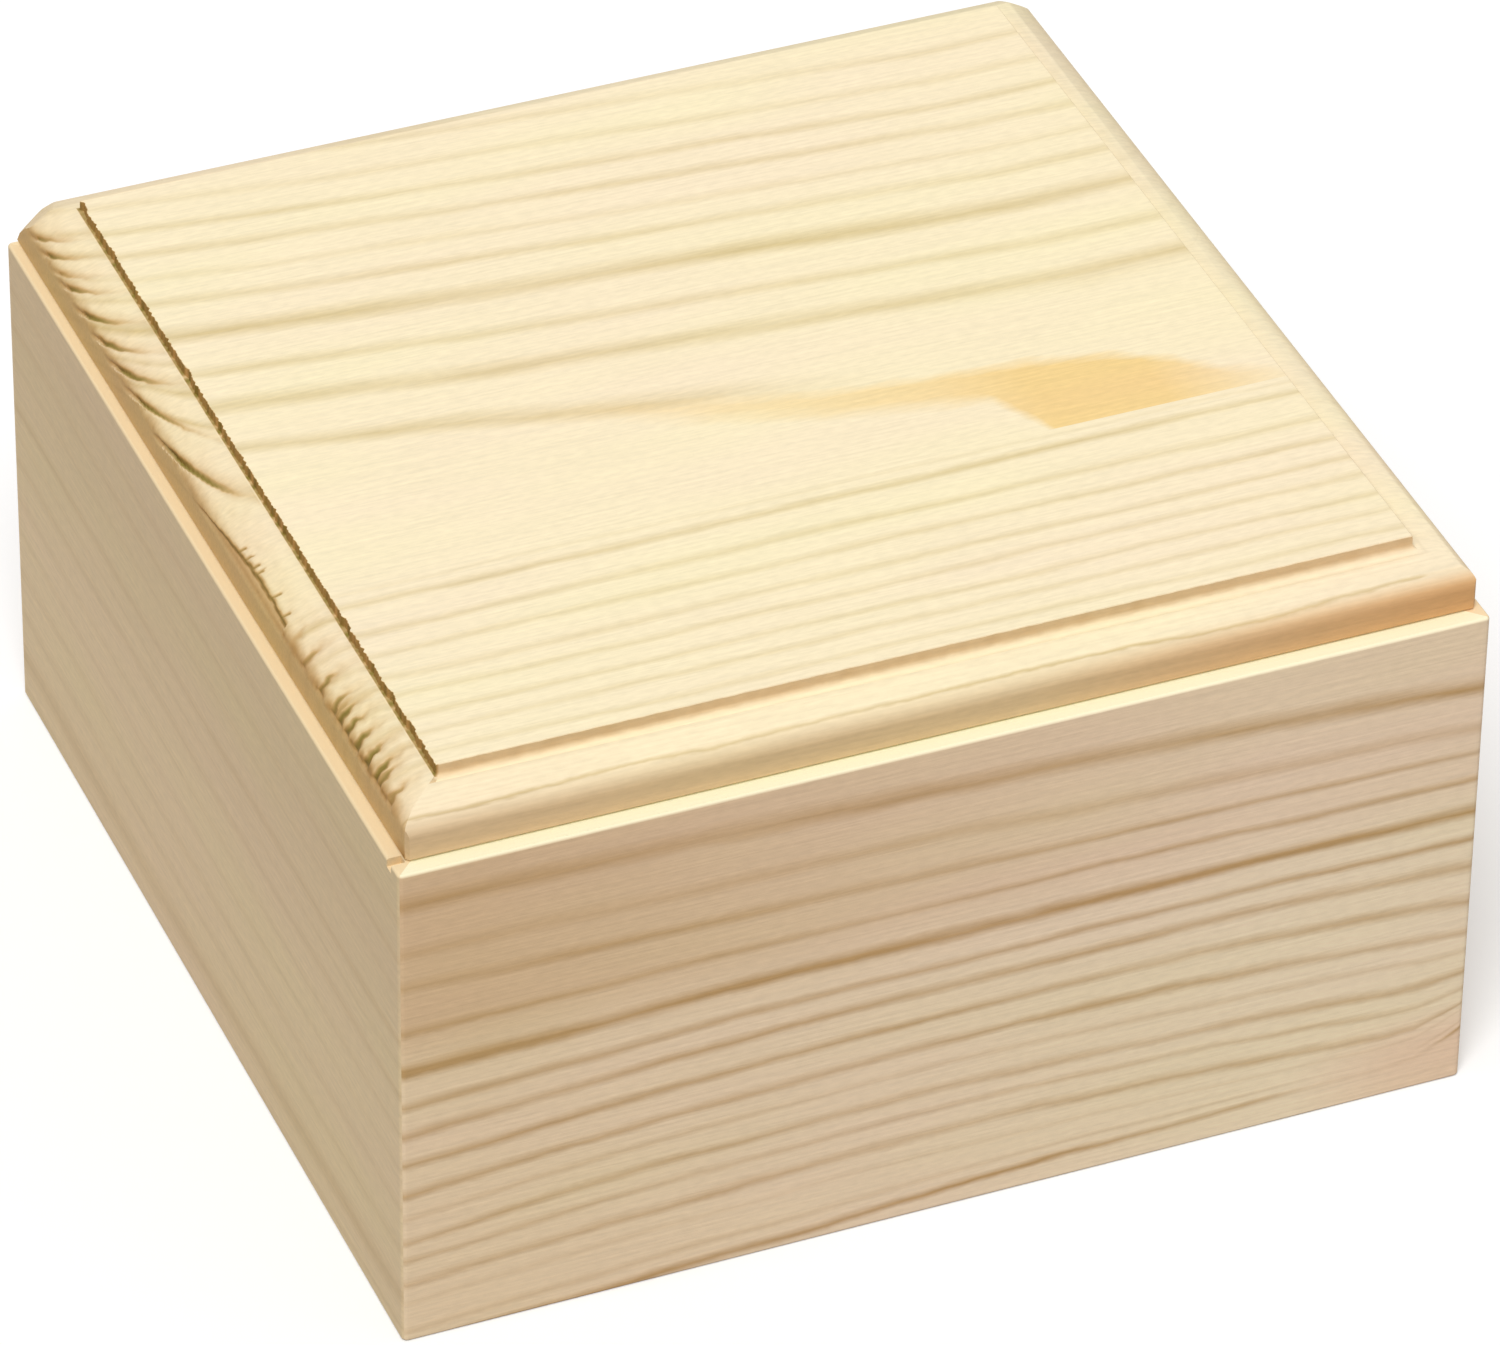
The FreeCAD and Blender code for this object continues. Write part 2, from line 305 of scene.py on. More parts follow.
# Pine, planed and sanded bare: matt, warm straw yellow with even, soft rings, and a painted
# highlight on its top edge.
dress("back_wall", plain_pine("sanded_pine_back", "back", BACK_RINGS, [(0, 2), (76, -5)],
                              [(0, 1), (76, 4)], "F5D6AC", "DDB487", "FBE6BC"))

# ---- Left wall ---------------------------------------------------------------------------------
# Closed end of the box, full height, with a small saw nick across its top by the front corner.  Its
# rings are faint, but for a darker streak near the foot.
LEFT_RINGS = [
    (6.8, 2.0, 0.35), (12.8, 1.8, 0.40), (18.6, 1.6, 0.20), (26.2, 2.0, 0.50), (30.5, 1.4, 0.20),
    (35.0, 2.0, 0.40), (41.5, 1.8, 0.25), (47.5, 1.8, 0.25), (54.0, 2.2, 0.30), (61.0, 2.2, 0.30),
    (68.8, 4.5, 0.60), (74.2, 1.6, 0.30),
]
# The greyness of the left wall's early wood is painted shade, and its edge colour a painted
# highlight.
LEFT_UPPER, LEFT_LOWER, LEFT_LATE, LEFT_TOP_HIGHLIGHT = "E6CFA8", "F0D9B3", "D8BC90", "F6DEB3"

# Pine, planed and sanded bare: matt, greyer than the front as painted shade, paler towards the foot,
# and with a painted highlight on its top edge.
left_pine, tree, grain = board("sanded_pine_left", "left")
across = add_node(tree, "ShaderNodeSeparateXYZ", {0: grain}).outputs[1]
late = rings_on(tree, grain, across, LEFT_RINGS, [(0, 1), (76, -1)], [(0, 0), (76, 1.5)], STEADY)
early = curve(tree, across, [(0, 0.0), (15, 0.1), (45, 1.0), (75.5, 1.0)])
wood = add_node(tree, "ShaderNodeMix", {0: early, 6: linear(LEFT_UPPER), 7: linear(LEFT_LOWER)},
                data_type="RGBA")
wood = add_node(tree, "ShaderNodeMix", {0: late, 6: wood.outputs[2], 7: linear(LEFT_LATE)},
                data_type="RGBA")
dress("left_wall", sanded(left_pine, tree, grain, wood.outputs[2], late, painted_top_highlight=LEFT_TOP_HIGHLIGHT))

# ---- Right wall --------------------------------------------------------------------------------
# Open end, lowered between the two grooves so that the lid passes over it; only its mitred ends
# stand to the full height.
RIGHT_RINGS = [
    (4.0, 2.2, 0.5), (9.5, 2.4, 0.6), (15.8, 2.4, 0.5), (22.5, 2.6, 0.8), (30.4, 2.8, 0.5),
    (38.8, 2.8, 0.6), (46.0, 2.4, 0.5), (52.6, 2.2, 0.5), (58.4, 2.0, 0.6), (63.6, 1.8, 0.4),
    (68.2, 1.6, 0.5), (72.4, 1.4, 0.4),
]
# Pine, planed and sanded bare: matt straw yellow, with one ring darker than the rest, and a painted
# highlight on its top edge.
dress("right_wall", plain_pine("sanded_pine_right", "right", RIGHT_RINGS, [(0, -3), (76, 2)],
                               [(0, 3), (76, 0)], "F4D8B0", "DDB688", "FBE0B4"))

# ---- Bottom ------------------------------------------------------------------------------------
# Thin pine board glued up into the rebate of the four walls; its wide, pale rings run from left to
# right.
BOTTOM_RINGS = [
    (8, 2.4, 0.4), (17, 2.6, 0.5), (27, 3.0, 0.4), (39, 3.4, 0.6), (53, 4.0, 0.4), (69, 4.4, 0.5),
    (86, 4.4, 0.4), (101, 3.8, 0.6), (114, 3.2, 0.4), (125, 2.8, 0.5), (134, 2.4, 0.4),
    (142, 2.0, 0.5),
]
# Pine, planed and sanded bare: matt and pale, with broad rings that hardly stand out.
dress("bottom_panel", plain_pine("sanded_pine_bottom", "up", BOTTOM_RINGS, [(0, 4), (150, -3)],
                                 [(0, -3), (150, 5)], "F5DDB6", "E3BF92"))

# ---- Lid ---------------------------------------------------------------------------------------
# Two pine boards glued edge to edge, then cut as one: tongues and neck below, a moulding round the
# edge, and a plain raised field.  The cutter tore the end grain on the left.
PLATE_LOW, PLATE_TOP = WALL_TOP + 0.4, LID_TOP
LEFT, RIGHT, FRONT, BACK = -HALF + 1.9, HALF - 1.2, -HALF + 2.3, HALF - 0.4
SEAM = -27.8                              # the glue line between the boards
NECK_LEFT, NECK_RIGHT = -66.7, RIGHT - 0.02   # the right end lies a hair inside the plate's
NECK, TONGUE = 66.7, 69.7                 # half of the depth over the neck and over the tongues
TONGUE_LOW, TONGUE_HIGH = 67.8, 71.7

# The moulding: an upright face, a round, a cove and the step up to the field.  Sanding has lowered
# the shoulder of the round, and along the front the round begins lower still.
FACE_TOP = PLATE_LOW + 4.4
SHOULDER, FRONT_SHOULDER = FACE_TOP - 0.4, PLATE_LOW + 3.0
ROUND_WIDE, COVE, STEP = 5.4, 1.0, 2.1
LEDGE = PLATE_TOP - STEP
INNER = ROUND_WIDE + COVE
ROUND_ROWS, COVE_ROWS = 20, 8
LEFT_CUTS, FRONT_CUTS = 560, 280
LEFT_OUT = 0.5                            # how much wider the left moulding is at the back

# The back board's rings are circles: their middle lies this far from the back and below the field.
HEART_IN, HEART_DOWN = 95.0, 165.0
# Torn rings at its left end: the ring's place on the field (or past the heart line), its force and
# how far the tear runs towards the front for each millimetre inward.
BACK_TORN = [(15.9, 0.6, 0.4), (20.8, 0.7, 0.4), (25.9, 0.45, 0.4), (30.0, 0.75, 0.5),
             (38.1, 1.0, 0.55), (46.2, 0.9, 0.55), (55.1, 1.1, 0.6), (67.1, 1.0, 1.5),
             (110.0, 1.5, 0.8)]
# Near the front the tears lie side by side: distance from the back, and force.
FRONT_TORN = [(105.8, 0.3), (110.5, 0.5), (116.3, 0.6), (120.8, 0.6), (121.9, 0.4), (123.1, 0.7),
              (125.7, 0.7), (129.0, 0.7), (132.4, 0.8), (135.7, 0.9), (137.2, 0.6), (141.0, 0.5)]
# One ring has come off whole: the square of its radius, its start from the back, and the short
# tears above its edge.
SHED_SQUARE, SHED_START = HEART_DOWN ** 2 - 1047, 60.0
TICKS = [85.6, 87.6, 89.9, 91.3, 96.8, 101.0]


def raise_to(mesh, top, z, left, right, front, back):
    """Extrude the top face and set the new one's outline and height."""
    grown = bmesh.ops.extrude_face_region(mesh, geom=[top])
    new = [g for g in grown["geom"] if isinstance(g, bmesh.types.BMFace)][0]
    bmesh.ops.delete(mesh, geom=[top], context="FACES_ONLY")
    for vert in new.verts:
        vert.co = (right if vert.co.x > 0 else left, back if vert.co.y > 0 else front, z)
    return new


def cut_off(mesh, point, outward):
    """Take off what lies beyond a plane and close the cut."""
    cut = bmesh.ops.bisect_plane(mesh, geom=mesh.verts[:] + mesh.edges[:] + mesh.faces[:],
                                 plane_co=point, plane_no=outward, clear_outer=True)
    rim = [g for g in cut["geom_cut"] if isinstance(g, bmesh.types.BMEdge)]
    bmesh.ops.holes_fill(mesh, edges=rim, sides=0)


def cut_finely(mesh, axis, border, lowest, cuts):
    """Divide the edges that run along one side of the moulding; axis is 0 for left, 1 for front."""
    long_ones = []
    for edge in mesh.edges:
        a, b = edge.verts[0].co, edge.verts[1].co
        length = abs(a[1 - axis] - b[1 - axis])
        if max(a[axis], b[axis]) < border and length > 60 and min(a.z, b.z) > lowest:
            long_ones.append(edge)
    bmesh.ops.subdivide_edges(mesh, edges=long_ones, cuts=cuts, use_grid_fill=True)


# A copy of the first face stays as the underside, and the first one is raised from the tongues up
# to the field.
mesh = bmesh.new()
bmesh.ops.create_grid(mesh, x_segments=1, y_segments=1, size=1)
top = mesh.faces[:][0]
bmesh.ops.duplicate(mesh, geom=[top])
for vert in mesh.verts:
    vert.co = (NECK_RIGHT if vert.co.x > 0 else NECK_LEFT, TONGUE if vert.co.y > 0 else -TONGUE,
               TONGUE_LOW)
top = raise_to(mesh, top, TONGUE_HIGH, NECK_LEFT, NECK_RIGHT, -TONGUE, TONGUE)
top = raise_to(mesh, top, TONGUE_HIGH, NECK_LEFT, NECK_RIGHT, -NECK, NECK)
top = raise_to(mesh, top, PLATE_LOW, NECK_LEFT, NECK_RIGHT, -NECK, NECK)

# The moulding's section as (inward, height): rows on the face for the tears to run out on, the
# round, the cove, the step and its worn edge.
profile = [(0, PLATE_LOW)] + [(0, PLATE_LOW + 2.2 + 0.3 * i) for i in range(6)] + [(0, SHOULDER)]
for i in range(1, ROUND_ROWS + 1):
    turn = math.radians(90 * i / ROUND_ROWS)
    profile.append((ROUND_WIDE * (1 - math.cos(turn)),
                    SHOULDER + (LEDGE - SHOULDER) * math.sin(turn)))
for i in range(1, COVE_ROWS + 1):
    turn = math.radians(90 * i / COVE_ROWS)
    profile.append((ROUND_WIDE + COVE * math.sin(turn), LEDGE + COVE * (1 - math.cos(turn))))
profile += [(INNER, LEDGE + 1.3), (INNER, LEDGE + 1.7), (INNER + 0.02, PLATE_TOP - 0.1),
            (INNER + 0.12, PLATE_TOP), (INNER + 0.5, PLATE_TOP)]
for inward, z in profile:
    front_in = inward
    if FRONT_SHOULDER < z <= LEDGE:
        part = (z - FRONT_SHOULDER) / (LEDGE - FRONT_SHOULDER)
        front_in = ROUND_WIDE * (1 - math.sqrt(max(0.0, 1 - part * part)))
    top = raise_to(mesh, top, z, LEFT + inward, RIGHT - inward, FRONT + front_in, BACK - inward)
bmesh.ops.remove_doubles(mesh, verts=mesh.verts[:], dist=0.0001)
# Fine cuts across the left moulding for its tears, and coarser ones across the front step.
cut_finely(mesh, 0, LEFT + INNER + 0.6, PLATE_LOW - 0.01, LEFT_CUTS)
cut_finely(mesh, 1, FRONT + INNER + 0.6, LEDGE - 0.01, FRONT_CUTS)

# The corners: worn away at the back left, rounded at the front left, crisp on the right.  Each flat
# is given by a point, so far in from the corner and so far above the plate's underside, and by how
# much it faces outward and upward.
for x, y, sx, sy, flats in (
        (LEFT, BACK, -1, 1, [(0.0, 0.0, 3.1, 1.45), (1.2, 2.3, 3.2, 2.4), (2.3, 3.9, 3.2, 3.9)]),
        (LEFT, FRONT, -1, -1, [(0.35, 0.0, 1.0, 0.0)]),
        (RIGHT, FRONT, 1, -1, [(0.25, 0.0, 1.0, 0.0)]),
        (RIGHT, BACK, 1, 1, [(0.7, 0.0, 1.0, 0.0), (2.2, 4.4, 1.0, 1.1)])):
    root = math.sqrt(0.5)
    for inward, rise, level, up in flats:
        point = (x - sx * inward * root, y - sy * inward * root, PLATE_LOW + rise)
        cut_off(mesh, point, Vector((sx * root * level, sy * root * level, up)).normalized())


def bounded(value):
    """Value held between nothing and one."""
    return min(1.0, max(0.0, value))


def bell(away, wide):
    """One in the middle of a mark, and less with the distance from it."""
    return math.exp(-(away / wide) ** 2)


def ring_tears(x, down, across, jump, low):
    """Depth, brown rim and dark core of the torn rings in the back board.

    Each tear is steep on the side towards the front and runs out slowly towards the back.  Away is
    the distance across it, and a ring that meets the surface at a flat angle shows broader.
    """
    depth, brown, core = 0.0, 0.0, 0.0
    for ring, force, run in BACK_TORN:
        square = (HEART_IN - ring) * abs(HEART_IN - ring) + 2 * HEART_DOWN * down - down * down
        if square < 0:
            continue
        reach = math.sqrt(square)
        away = across - (HEART_IN - reach + run * (x - LEFT - 1.0)) + jump
        away /= 0.55 + 36 / reach
        behind = away < 0
        depth = max(depth, force * bell(away, 1.6 if behind else 0.6))
        brown = max(brown, 0.6 * force * bell(away, 2.0 if behind else 1.0))
        core = max(core, 2.0 * force * bell(away, (0.7 + 0.6 * low) * (1.3 if behind else 0.6)))
    return depth, brown, core


def side_by_side_tears(x, across, jump, low):
    """Depth, brown rim and dark core of the tears in the front board, which lean to the back."""
    depth, brown, core = 0.0, 0.0, 0.0
    for ring, force in FRONT_TORN:
        away = across - ring + 0.25 * (x - LEFT - 1.0) + 1.4 * jump
        wedge = 0.45 + 0.6 * low
        depth = max(depth, force * bell(away, wedge))
        brown = max(brown, 0.7 * force * bell(away, 1.3))
        core = max(core, 1.5 * force * bell(away, wedge))
    return depth, brown, core


def torn_here(x, y, z):
    """Depth of the tear in millimetres at a point of the left moulding, and how brown it is, partly
    as painted shade.
    """
    down, across = PLATE_TOP - z, HALF - y
    border = PLATE_TOP - FACE_TOP
    if down > border + 0.9 or down < 2.0:
        return 0.0, 0.0
    # All marks end just below the border of face and round, and most of them fade up the round: low
    # is one at the border and nothing by the ledge.
    near_border = bounded((border + 0.9 - down) / 0.8)
    low = bounded((down - 2.1) / (border - 2.1))
    # Noise breaks up the lines of the tears, the painted shade between them and the rough patches.
    jump = 0.5 * noise.noise(Vector((x * 0.9, y * 0.6, 3.1)))
    uneven = 0.85 + 0.9 * noise.noise(Vector((x * 0.4, y * 0.3, 6.0)))
    ragged = 0.5 + noise.noise(Vector((x * 0.5, y * 0.8, 8.0)))
    rough = near_border * bounded((down - 3.1) / (border - 3.1)) * max(0.0, ragged)
    # Low on the round, near the face, the wood is tinted brown: painted shade.
    shade_and_lens_tint = 0.18 * bounded((down - 2.7) / 1.2) * near_border * uneven
    if y > SEAM:
        depth, brown, core = ring_tears(x, down, across, jump, low)
        fade = near_border * (0.12 + 0.88 * low ** 1.2)
        depth *= fade
        core *= bounded((border - 0.2 - down) / 0.4) * (0.1 + 0.9 * low ** 0.8)
        # The ring that came off left a long lens with a dark edge, and short tears above it.
        edge = HEART_DOWN - math.sqrt(SHED_SQUARE - (HEART_IN - across) ** 2)
        below = down - edge + 0.25 * jump
        begun = bounded((across - SHED_START) / 8.0) * near_border
        lens = begun * bounded((below + 0.1) / 0.2)
        depth = max(depth, 0.5 * lens)
        shade_and_lens_tint = max(shade_and_lens_tint, 0.4 * lens)
        core = max(core, begun * bell(below, 0.2))
        for tick in TICKS:
            if -0.65 < below < 0:
                mark = bell(across - tick + 0.4 * jump + 0.3 * below, 0.3)
                depth, core = max(depth, 0.3 * mark), max(core, 0.8 * mark)
        rough *= 0.25
    else:
        depth, brown, core = side_by_side_tears(x, across, jump, low)
        fade = near_border * (0.15 + 0.85 * low ** 0.6)
        depth *= fade
        core *= bounded((border + 0.3 - down) / 0.5) * bounded((down - 2.1) / 0.7)
        # Near the front that painted shade low on the round is stronger.
        shade_and_lens_tint = max(shade_and_lens_tint, 0.5 * bounded((down - 2.8) / 1.0) * near_border * uneven)
        rough *= 0.5
    return 0.55 * max(depth, rough), max(shade_and_lens_tint, brown * fade ** 0.6, core, 1.2 * rough)


# A vertex layer for the brown of torn end grain and for painted shade.
torn_and_shade_layer = mesh.verts.layers.float.new("torn_and_shade")
mesh.normal_update()
for vert in mesh.verts:
    x, y, z = vert.co
    from_left, from_front, from_back = x - LEFT, y - FRONT, BACK - y
    on_left = from_front > from_left - 0.01 and from_back > from_left - 0.01
    if on_left and from_left < INNER + 0.55 and z > PLATE_LOW + 1:
        # The tears stop short of both corners, and the wood between them is a little lumpy.
        ends = bounded((min(from_front, from_back) - 2.0) / 3.0)
        depth, brown = torn_here(x, y, z)
        soft = 0.05 * noise.noise(Vector((x * 0.8, y * 0.5, z * 0.8)))
        vert.co -= vert.normal * (depth * ends + (soft + 0.05) * ends)
        vert[torn_and_shade_layer] = min(1.0, brown * ends)
        # The step is ragged, with here and there a fibre broken off short.
        if z > LEDGE + 0.3:
            rag = 0.28 * noise.noise(Vector((0, y * 1.7, 5.0)))
            rag += 0.18 * noise.noise(Vector((0, y * 0.35, 9.0)))
            rag += 0.22 * (noise.noise(Vector((0, round(y / 2.3) * 3.7, 1.0))) > 0.25)
            vert.co.x += rag * ends
        # Torn fibres fill the foot of the step, so that only its upper half shows as a dark line.
        swell = bounded((from_left - 1.6) / (INNER - 1.6))
        swell = 0.7 * swell * swell * (3 - 2 * swell)
        if z < LEDGE + 0.01:
            vert.co.z += ends * swell
        elif z < LEDGE + COVE:
            vert.co.z += ends * max(0.0, LEDGE + swell - z)
        # The upper half of the step is painted dark olive: its torn end grain, and painted shade of
        # the step.
        if LEDGE + 0.28 < z < PLATE_TOP - 0.02:
            vert[torn_and_shade_layer] = 0.78 + 0.6 * noise.noise(Vector((0, y * 0.9, 2.0)))
    elif from_left < 0.05 and z < SHOULDER and from_front < 5:
        # By the front corner the foot of the upright face is painted dark: painted shade where the
        # lid meets the wall.
        vert[torn_and_shade_layer] = 0.75 * (1 - from_front / 5)
    elif from_front < INNER + 0.55 and z > LEDGE + 0.3 and from_front < from_left:
        # The front step is a little uneven, and its face is painted a little browner in places:
        # painted shade.
        rag = 0.07 * noise.noise(Vector((x * 0.5, 0, 4.0)))
        rag += 0.05 * noise.noise(Vector((x * 1.6, 0, 4.0)))
        vert.co.y += rag
        if z < PLATE_TOP - 0.05 and INNER - 0.3 < from_front < INNER + 0.05:
            vert[torn_and_shade_layer] = 0.07 + 0.12 * noise.noise(Vector((x * 0.4, 0, 2.0)))

# The left end is not sawn quite square: the moulding grows wider towards the back.
for vert in mesh.verts:
    if vert.co.z > PLATE_LOW - 0.01 and vert.co.x < LEFT + INNER:
        share = bounded((LEFT + INNER - 0.4 - vert.co.x) / 3.0)
        vert.co.x -= LEFT_OUT * share * (vert.co.y - FRONT) / (BACK - FRONT)

# Rings on the field: place from the back at the left end, breadth and darkness.
LID_BACK_RINGS = [
    (1.6, 2.2, 0.45), (8.5, 2.2, 0.40), (14.7, 2.2, 0.65), (20.5, 2.2, 0.65), (26.7, 2.0, 0.40),
    (32.5, 2.4, 0.65), (40.5, 4.0, 1.00), (49.7, 2.6, 0.65), (58.0, 3.6, 0.85), (67.9, 3.0, 0.85),
    (127.4, 3.0, 0.8),
]
LID_BACK_DRIFT = [(0, 12.3), (72, 12.3), (85, 22), (102.8, 14), (130, 0)]
LID_BACK_SAG = [(0, 1.5), (40, 2), (62, 2.2), (80, 3.5), (95, 0), (130, 0)]
LID_BACK_PATH = [(0, 0), (0.3, 0.33), (0.6, 0.63), (0.84, 0.95), (1, 1)]
LID_FRONT_RINGS = [
    (103.6, 1.0, 0.25), (106.3, 1.8, 0.85), (112.5, 1.8, 0.60), (117.3, 1.7, 0.60),
    (122.3, 1.7, 0.60), (126.3, 1.6, 0.55), (130.8, 1.6, 0.55), (134.5, 1.5, 0.50),
    (138.8, 1.5, 0.50), (142.4, 1.3, 0.00), (146.2, 0.5, 0.95), (148.9, 1.2, 0.30),
]
LID_FRONT_DRIFT, LID_FRONT_SAG = [(100, 0.6), (150, 0)], [(0, 0), (100, 0)]

# Outline of the resin stain: place along the lid, and its two edges in decimetres from the back, as
# the ramps hold them; then its strength along the lid.
STAIN_UPPER = [(45, 0.735), (55, 0.755), (67, 0.79), (82, 0.829), (97, 0.852), (112, 0.868),
               (123, 0.89), (130, 0.925), (135, 0.968), (141, 0.988), (146, 1.04)]
STAIN_LOWER = [(45, 0.755), (55, 0.782), (67, 0.835), (82, 0.885), (97, 0.915),
               (104, 0.93), (108, 1.0), (110, 1.06), (120, 1.06)]
STAIN_FORCE = [(42, 0), (58, 0.25), (70, 0.5), (85, 0.62), (98, 0.75), (110, 1),
               (126, 1), (134, 0.65), (142, 0.2), (149, 0)]
LID_EARLY, LID_LATE, RESIN, FRONT_RIM_ORANGE = "FDF1D0", "DFCD9C", "F7D998", "F9CB8B"
# The colour of the lid's sides is painted shade, and that of its ends painted shade and end grain.
TORN_BROWN_AND_SHADE, TORN_DARK_AND_SHADE, LID_SIDE_SHADE, LID_END_GRAIN_AND_SHADE = "D8BA86", "92843E", "E1CFBC", "D7BD94"


def round_the_heart(tree, across, down):
    """Place on the field of the ring that passes through a point of the back board."""
    to_heart = add_node(tree, "ShaderNodeMath", {0: HEART_IN, 1: across}, operation="SUBTRACT")
    square = add_node(tree, "ShaderNodeMath", {0: to_heart, 1: to_heart}, operation="MULTIPLY")
    sunk = add_node(tree, "ShaderNodeMath", {0: down, 1: -2 * HEART_DOWN}, operation="ADD")
    square = add_node(tree, "ShaderNodeMath", {0: down, 1: sunk, 2: square},
                      operation="MULTIPLY_ADD")
    sign = add_node(tree, "ShaderNodeMath", {0: square}, operation="SIGN")
    size = add_node(tree, "ShaderNodeMath", {0: square}, operation="ABSOLUTE")
    size = add_node(tree, "ShaderNodeMath", {0: size}, operation="SQRT")
    size = add_node(tree, "ShaderNodeMath", {0: size, 1: sign}, operation="MULTIPLY")
    return add_node(tree, "ShaderNodeMath", {0: HEART_IN, 1: size}, operation="SUBTRACT")


def stained(tree, grain, along, across, wood):
    """Wood with the resin stain: a leaf of orange between two rings, ended by the glue line."""
    upper = curve(tree, along, STAIN_UPPER)
    lower = curve(tree, along, STAIN_LOWER)
    force = curve(tree, along, STAIN_FORCE)
    share = add_node(tree, "ShaderNodeMath", {0: across, 1: 0.01}, operation="MULTIPLY")
    # Its edges waver by 1.5 mm in waves 8 mm long, and each fades over 2 to 4 mm.
    wobble = add_node(tree, "ShaderNodeMapping", {0: grain, 3: (0.12, 0.5, 0.5)})
    wobble = add_node(tree, "ShaderNodeTexNoise", {"Vector": wobble, "Scale": 1.0, "Detail": 3.0})
    wobble = add_node(tree, "ShaderNodeMath", {0: wobble, 1: 0.03, 2: -0.015},
                      operation="MULTIPLY_ADD")
    share = add_node(tree, "ShaderNodeMath", {0: share, 1: wobble}, operation="ADD")
    past = add_node(tree, "ShaderNodeMath", {0: share, 1: upper}, operation="SUBTRACT")
    past = add_node(tree, "ShaderNodeMapRange", {0: past, 1: -0.002, 2: 0.022})
    short = add_node(tree, "ShaderNodeMath", {0: lower, 1: share}, operation="SUBTRACT")
    short = add_node(tree, "ShaderNodeMapRange", {0: short, 1: -0.025, 2: 0.012})
    stain = add_node(tree, "ShaderNodeMath", {0: past, 1: short}, operation="MULTIPLY")
    stain = add_node(tree, "ShaderNodeMath", {0: stain, 1: force}, operation="MULTIPLY")
    return add_node(tree, "ShaderNodeMix", {0: stain, 6: wood.outputs[2], 7: linear(RESIN)},
                    data_type="RGBA")


def orange_low_on_front(tree, along, across, down, wood):
    """Wood turned orange low on the front moulding, towards its right end."""
    orange = add_node(tree, "ShaderNodeMapRange", {0: along, 1: 85, 2: 146})
    low = add_node(tree, "ShaderNodeMapRange", {0: down, 1: 3.2, 2: 4.6, 3: 0.0, 4: 0.75})
    rim = add_node(tree, "ShaderNodeMapRange", {0: across, 1: 140, 2: 146})
    low = add_node(tree, "ShaderNodeMath", {0: low, 1: rim}, operation="MULTIPLY")
    orange = add_node(tree, "ShaderNodeMath", {0: orange, 1: low}, operation="MULTIPLY")
    return add_node(tree, "ShaderNodeMix", {0: orange, 6: wood.outputs[2], 7: linear(FRONT_RIM_ORANGE)},
                    data_type="RGBA")


def lid_material(name, back):
    """Pine of one lid board, with the dark of its torn end grain and of painted shade."""
    material, tree, grain = board(name, "up")
    along, across, down = add_node(tree, "ShaderNodeSeparateXYZ", {0: grain}).outputs
    if back:
        place = round_the_heart(tree, across, down)
        late = rings_on(tree, grain, place, LID_BACK_RINGS, LID_BACK_DRIFT, LID_BACK_SAG,
                        LID_BACK_PATH)
        # The last ring before the heart runs out in the stain.
        ending = curve(tree, along, [(60, 0), (95, 1), (150, 1)])
        last = curve(tree, across, [(72, 0), (78, 1), (100, 1)])
        late = faded(tree, late, ending, last)
    else:
        late = rings_on(tree, grain, across, LID_FRONT_RINGS, LID_FRONT_DRIFT, LID_FRONT_SAG,
                        STEADY)
    # The right moulding was cut clean and shows hardly any rings.
    right_end = add_node(tree, "ShaderNodeMapRange", {0: along, 1: 141.5, 2: 142.6})
    below = add_node(tree, "ShaderNodeMapRange", {0: down, 1: 0.2, 2: 1.5, 3: 0.0, 4: 0.85})
    late = faded(tree, late, right_end, below)
    # Low on the left end the rings are rubbed faint.
    left_end = add_node(tree, "ShaderNodeMapRange", {0: along, 1: 4.0, 2: 2.2})
    below = add_node(tree, "ShaderNodeMapRange", {0: down, 1: 3.8, 2: 4.5, 3: 0.0, 4: 0.7})
    late = faded(tree, late, left_end, below)
    wood = add_node(tree, "ShaderNodeMix", {0: late, 6: linear(LID_EARLY), 7: linear(LID_LATE)},
                    data_type="RGBA")
    if back:
        wood = stained(tree, grain, along, across, wood)
    else:
        wood = orange_low_on_front(tree, along, across, down, wood)
    # The layer holds torn end grain and painted shade, which darken the wood in two steps.
    torn_and_shade = add_node(tree, "ShaderNodeAttribute", attribute_name="torn_and_shade").outputs["Fac"]
    for least, most, colour in ((0.04, 0.55, TORN_BROWN_AND_SHADE), (0.45, 1.0, TORN_DARK_AND_SHADE)):
        amount = add_node(tree, "ShaderNodeMapRange", {0: torn_and_shade, 1: least, 2: most})
        wood = add_node(tree, "ShaderNodeMix", {0: amount, 6: wood.outputs[2], 7: linear(colour)},
                        data_type="RGBA")
    return sanded(material, tree, grain, wood.outputs[2], late, LID_SIDE_SHADE, LID_END_GRAIN_AND_SHADE)


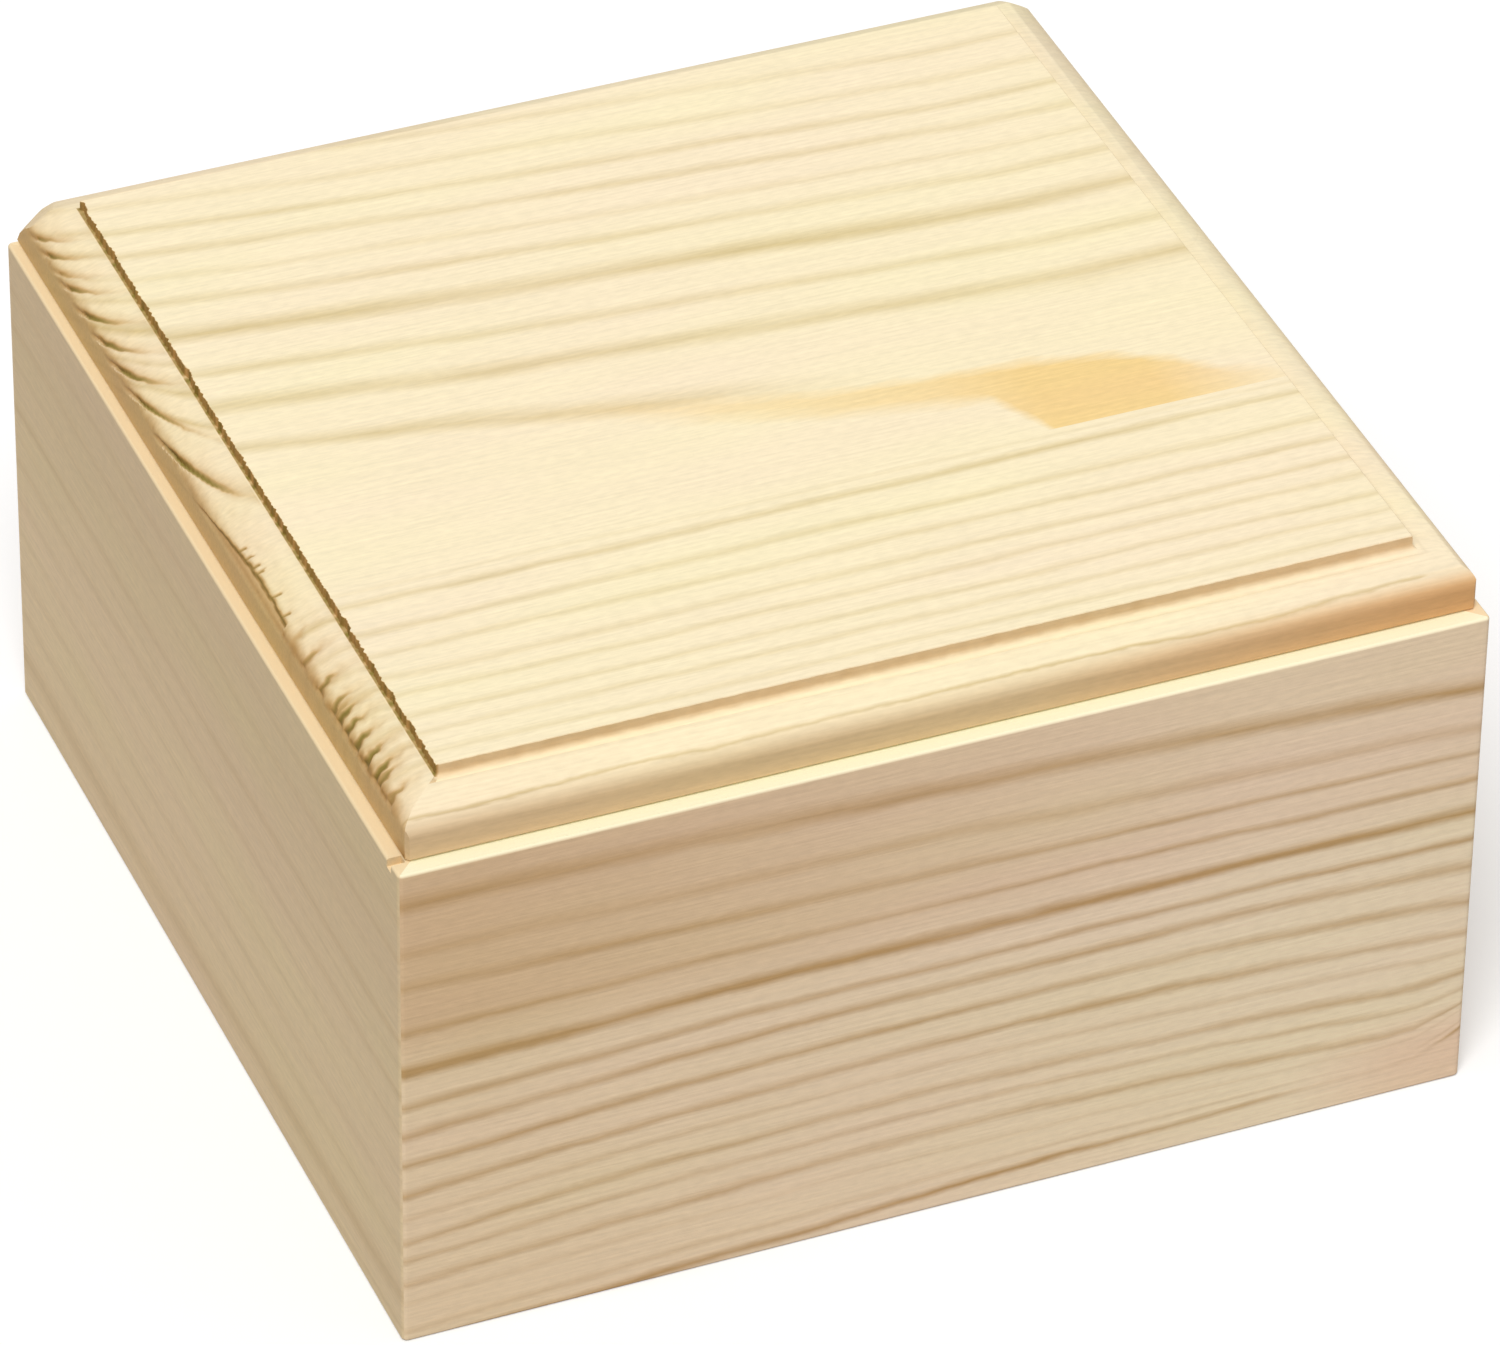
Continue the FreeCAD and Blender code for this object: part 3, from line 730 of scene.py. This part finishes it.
# Pine, planed and sanded bare: matt cream, paler than the walls partly as painted light on its top,
# with soft grey-tan rings; olive brown where the end grain is torn, and brown as painted shade on
# the steps, by the front corner and low on the left round.  Sides and ends are darkened as painted
# shade, the ends also by their grain.
for name, outward, back in (("lid_back_board", -1, True), ("lid_front_board", 1, False)):
    half = mesh.copy()
    cut_off(half, (0, SEAM, 0), (0, outward, 0))
    bmesh.ops.recalc_face_normals(half, faces=half.faces[:])
    bmesh.ops.scale(half, vec=(0.001, 0.001, 0.001), verts=half.verts)
    data = bpy.data.meshes.new("moulded_" + name)
    half.to_mesh(data)
    half.free()
    data.materials.append(lid_material("sanded_pine_" + name, back))
    for face in data.polygons:
        face.use_smooth = True
    data.set_sharp_from_angle(angle=math.radians(38))
    piece = bpy.data.objects.new("moulded_" + name, data)
    bpy.context.scene.collection.objects.link(piece)
    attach(piece, "sliding_lid")
    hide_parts(name)
mesh.free()

# ---- Studio ------------------------------------------------------------------------------------
# White paper floor, a pale sky all round and one broad soft lamp from above, a little to the front
# left.  The camera stands far off with a long lens.
FLOOR_HALF = 4            # metres, as are the places in this section
PAPER_SHADE, WHITE = "8C8C8C", "FFFFFF"   # paper as a source of stray light, and as it is seen
GLOW, SKY, LAMP = 0.06, 0.5, 1.90         # strengths of the paper's glow, the sky and the lamp
LAMP_FROM, LAMP_SPREAD = Vector((-0.57, -0.90, 1.57)), 30
# Where the camera stands, and the directions of its picture.
EYE = (-0.412256, -0.988973, 0.831680)
VIEW_RIGHT = Vector((0.9254904, -0.3785545, 0.0128081))
VIEW_UP = Vector((0.2163978, 0.5561976, 0.8023816))
VIEW_BACK = -Vector((0.3108690, 0.7398248, -0.5966739))


def looked_at(tree):
    """One for what is seen itself or in a reflection, and nothing for what only lights the rest."""
    path = add_node(tree, "ShaderNodeLightPath")
    seen = add_node(tree, "ShaderNodeMath", {
        0: path.outputs["Is Camera Ray"], 1: path.outputs["Is Glossy Ray"]}, operation="MAXIMUM")
    return add_node(tree, "ShaderNodeMath", {0: seen, 1: path.outputs["Is Transmission Ray"]},
                    operation="MAXIMUM")


# White paper, matt: it melts into the white sky, keeps the box's shadow and throws little light
# back.
paper = bpy.data.materials.new("matt_white_paper")
paper.use_nodes = True
tree = paper.node_tree
shader = tree.nodes["Principled BSDF"]
seen = looked_at(tree)
white = add_node(tree, "ShaderNodeMix", {0: seen, 6: linear(PAPER_SHADE), 7: linear(WHITE)},
                 data_type="RGBA")
glow = add_node(tree, "ShaderNodeMath", {0: seen, 1: GLOW}, operation="MULTIPLY")
tree.links.new(white.outputs[2], shader.inputs["Base Color"])
tree.links.new(glow.outputs[0], shader.inputs["Emission Strength"])
shader.inputs["Emission Color"].default_value = linear(WHITE)
shader.inputs["Roughness"].default_value = 1.0
shader.inputs["Specular IOR Level"].default_value = 0.0

mesh = bmesh.new()
bmesh.ops.create_grid(mesh, x_segments=1, y_segments=1, size=FLOOR_HALF)
floor_data = bpy.data.meshes.new("floor")
mesh.to_mesh(floor_data)
mesh.free()
floor_data.materials.append(paper)
floor = bpy.data.objects.new("floor", floor_data)
bpy.context.scene.collection.objects.link(floor)

world = bpy.data.worlds.new("studio")
bpy.context.scene.world = world
world.use_nodes = True
tree = world.node_tree
strength = add_node(tree, "ShaderNodeMapRange", {0: looked_at(tree), 3: SKY, 4: 1.0})
tree.nodes["Background"].inputs["Color"].default_value = linear(WHITE)
tree.links.new(strength.outputs[0], tree.nodes["Background"].inputs["Strength"])

lamp = bpy.data.lights.new("soft_window", "SUN")
lamp.energy = LAMP
lamp.angle = math.radians(LAMP_SPREAD)
window = bpy.data.objects.new("soft_window", lamp)
window.rotation_mode = "QUATERNION"
window.rotation_quaternion = LAMP_FROM.to_track_quat("Z", "Y")
bpy.context.scene.collection.objects.link(window)

camera = bpy.data.cameras.new("camera")
camera.sensor_width = 36
camera.lens = 238.904
eye = bpy.data.objects.new("camera", camera)
turn = Matrix((VIEW_RIGHT, VIEW_UP, VIEW_BACK)).transposed().to_4x4()
eye.matrix_world = Matrix.Translation(EYE) @ turn
bpy.context.scene.collection.objects.link(eye)
bpy.context.scene.camera = eye
bpy.context.scene.view_settings.view_transform = "Standard"
